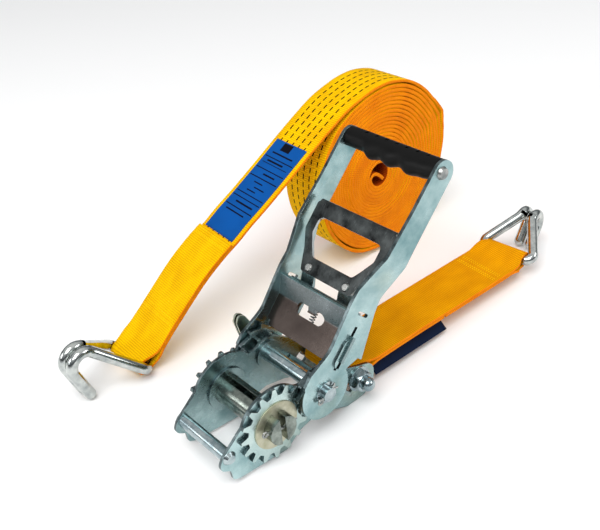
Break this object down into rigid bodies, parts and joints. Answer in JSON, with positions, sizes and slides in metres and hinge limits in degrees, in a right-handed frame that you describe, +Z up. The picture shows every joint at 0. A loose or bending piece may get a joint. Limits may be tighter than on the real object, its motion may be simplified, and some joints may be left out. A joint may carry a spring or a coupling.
{
  "type": "ratchet tie down",
  "caption": "Long-lever geared ratchet strap: folded steel ratchet with a moulded grip, short strap and long rolled strap, each ending in a bent-wire claw hook.",
  "frame": {"origin": "on the floor, in the middle plane of the ratchet, straight below the mandrel axis", "axes": "+X from the front tie rod to the rear strap bolt, +Y along the mandrel to the ratchet's left, +Z up"},
  "size_m": [0.4588, 0.231, 0.1914],
  "materials": {
    "zinc_plate": "satin",
    "zinc_parts": "satin",
    "yellow_zinc": "satin",
    "hook_steel": "polished",
    "spring_steel": "satin",
    "lever_paint": "satin",
    "grip_plastic": "matte",
    "webbing": "matte",
    "blue_label": "matte",
    "navy_label": "matte"
  },
  "bodies": {
    "frame": {"frame_plate_left": "zinc_plate", "frame_plate_right": "zinc_plate", "mandrel_bush_left": "zinc_parts", "mandrel_bush_right": "zinc_parts", "pivot_bush_left": "zinc_parts", "pivot_bush_right": "zinc_parts", "tie_rod": "zinc_parts", "rear_bolt": "zinc_parts", "cap_nut": "zinc_parts", "strap_sleeve": "zinc_parts", "lock_springs": "spring_steel"},
    "mandrel": {"mandrel_half_front": "zinc_parts", "mandrel_half_rear": "zinc_parts", "big_gear_left": "zinc_parts", "big_gear_right": "zinc_parts", "flange_washer_left": "yellow_zinc", "flange_washer_right": "yellow_zinc", "mandrel_cotter_left": "zinc_parts", "mandrel_cotter_right": "zinc_parts"},
    "pivot": {"pivot_shaft": "zinc_parts", "pinion_left": "zinc_parts", "pinion_right": "zinc_parts", "ratchet_wheel_left": "zinc_parts", "ratchet_wheel_right": "zinc_parts", "wheel_spacer_left": "zinc_parts", "wheel_spacer_right": "zinc_parts", "pivot_collar_left": "zinc_parts", "pivot_collar_right": "zinc_parts", "pivot_cotter_left": "zinc_parts", "pivot_cotter_right": "zinc_parts", "wing_lug": "zinc_parts"},
    "handle": {"handle_channel": "zinc_plate", "grip": "grip_plastic", "grip_bolt": "zinc_parts", "drive_spring": "spring_steel"},
    "drive_pawl": {"drive_pawl": "zinc_plate", "finger_lever": "lever_paint", "lever_rivets": "zinc_parts"},
    "locking_pawl": {"locking_pawl": "zinc_plate"},
    "short_strap": {"short_strap": "webbing", "short_label": "navy_label"},
    "short_hook": {"short_hook": "hook_steel"},
    "long_strap": {"long_strap": "webbing", "long_label": "blue_label"},
    "long_hook": {"long_hook": "hook_steel"}
  },
  "joints": [
    {"name": "mandrel_turn", "type": "hinge", "parent": "frame", "child": "mandrel", "pos_m": [0, 0, 0.0354], "axis": [0, 1, 0], "continuous": true},
    {"name": "pivot_turn", "type": "hinge", "parent": "frame", "child": "pivot", "pos_m": [0.0437, 0, 0.0437], "axis": [0, 1, 0], "continuous": true},
    {"name": "handle_swing", "type": "hinge", "parent": "frame", "child": "handle", "pos_m": [0.0437, 0, 0.0437], "axis": [0, 1, 0], "range_deg": [-70, 40]},
    {"name": "drive_pawl_pull", "type": "slide", "parent": "handle", "child": "drive_pawl", "axis": [0.6937, 0, 0.7203], "range_m": [0, 0.008], "stiffness_N_per_m": 500, "springref_m": -0.006, "deforming": ["drive_spring"]},
    {"name": "locking_pawl_release", "type": "slide", "parent": "frame", "child": "locking_pawl", "axis": [0.6428, 0, -0.766], "range_m": [0, 0.006], "stiffness_N_per_m": 500, "springref_m": -0.004, "deforming": ["lock_springs"]},
    {"name": "short_strap_lift", "type": "hinge", "parent": "frame", "child": "short_strap", "pos_m": [0.0885, 0, 0.0215], "axis": [0, -1, 0], "range_deg": [0, 10]},
    {"name": "short_hook_swing", "type": "hinge", "parent": "short_strap", "child": "short_hook", "pos_m": [0.3139, -0.005, 0.0182], "axis": [0.1715, -0.9827, -0.0698], "range_deg": [0, 60]},
    {"name": "long_strap_slide", "type": "slide", "parent": "frame", "child": "long_strap", "axis": [0, 1, 0], "range_m": [0, 0.1]},
    {"name": "long_hook_swing", "type": "hinge", "parent": "long_strap", "child": "long_hook", "pos_m": [-0.0185, 0.1486, 0.0093], "axis": [-0.0871, 0.996, 0.0209], "range_deg": [0, 60]}
  ],
  "couplings": [
    {"joint": "pivot_turn", "follows": "mandrel_turn", "ratio": -2}
  ]
}
